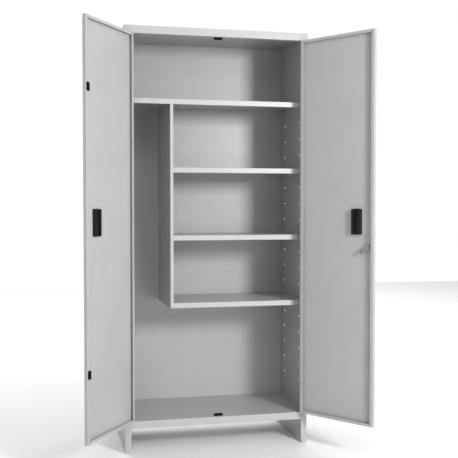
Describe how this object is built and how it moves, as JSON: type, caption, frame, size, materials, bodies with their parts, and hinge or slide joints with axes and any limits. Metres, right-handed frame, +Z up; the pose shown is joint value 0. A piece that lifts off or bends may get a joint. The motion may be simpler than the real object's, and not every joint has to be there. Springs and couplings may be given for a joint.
{
  "type": "broom cabinet",
  "caption": "Tall sheet-steel broom cabinet with two hinged doors, a top shelf, a partition with a tall broom space, side shelves and a cam lock.",
  "frame": {"origin": "on the floor, at the centre of the cabinet's footprint without its doors", "axes": "+Z up, -Y out of the front, +X to the right seen from the front"},
  "size_m": [1.1764, 0.7253, 1.8],
  "materials": {
    "powder_coat": "light grey powder coat, fine texture, semi-gloss",
    "black_plastic": "moulded, fine grain",
    "zinc_plate": "bright zinc plate",
    "ferrite": "bare ferrite magnet"
  },
  "bodies": {
    "cabinet": {"left_side_panel": "powder_coat", "right_side_panel": "powder_coat", "top_panel": "powder_coat", "bottom_panel": "powder_coat", "back_panel": "powder_coat", "left_foot_plate": "powder_coat", "right_foot_plate": "powder_coat", "top_shelf": "powder_coat", "partition": "powder_coat", "upper_shelf": "powder_coat", "middle_shelf": "powder_coat", "lower_shelf": "powder_coat", "left_wall_clips": "zinc_plate", "right_wall_clips": "zinc_plate", "partition_clips": "zinc_plate", "partition_top_rivets": "zinc_plate", "partition_rear_rivets": "zinc_plate", "upper_catch_housing": "black_plastic", "upper_catch_magnet": "ferrite", "lower_catch_housing": "black_plastic", "lower_catch_magnet": "ferrite", "upper_catch_screws": "zinc_plate", "lower_catch_screws": "zinc_plate", "left_frame_hinges": "powder_coat", "right_frame_hinges": "powder_coat", "left_hinge_pins": "zinc_plate", "right_hinge_pins": "zinc_plate"},
    "left_door": {"left_door_skin": "powder_coat", "left_door_hinges": "powder_coat", "left_handle": "black_plastic", "upper_door_block": "black_plastic", "lower_door_block": "black_plastic"},
    "right_door": {"right_door_skin": "powder_coat", "right_door_hinges": "powder_coat", "right_handle": "black_plastic", "lock_housing": "zinc_plate", "lock_nut": "zinc_plate"},
    "lock_cam": {"lock_plug": "zinc_plate", "lock_cam": "zinc_plate", "cam_screw": "zinc_plate"}
  },
  "joints": [
    {"name": "left_door_hinge", "type": "hinge", "parent": "cabinet", "child": "left_door", "pos_m": [-0.377, -0.2055, 0.951], "axis": [0, 0, -1], "range_deg": [-125, 55]},
    {"name": "right_door_hinge", "type": "hinge", "parent": "cabinet", "child": "right_door", "pos_m": [0.377, -0.2055, 0.951], "axis": [0, 0, 1], "range_deg": [-125, 55]},
    {"name": "lock_turn", "type": "hinge", "parent": "right_door", "child": "lock_cam", "pos_m": [0.56362, -0.49905, 0.876], "axis": [-0.8192, -0.5736, 0], "range_deg": [-30, 150]}
  ]
}
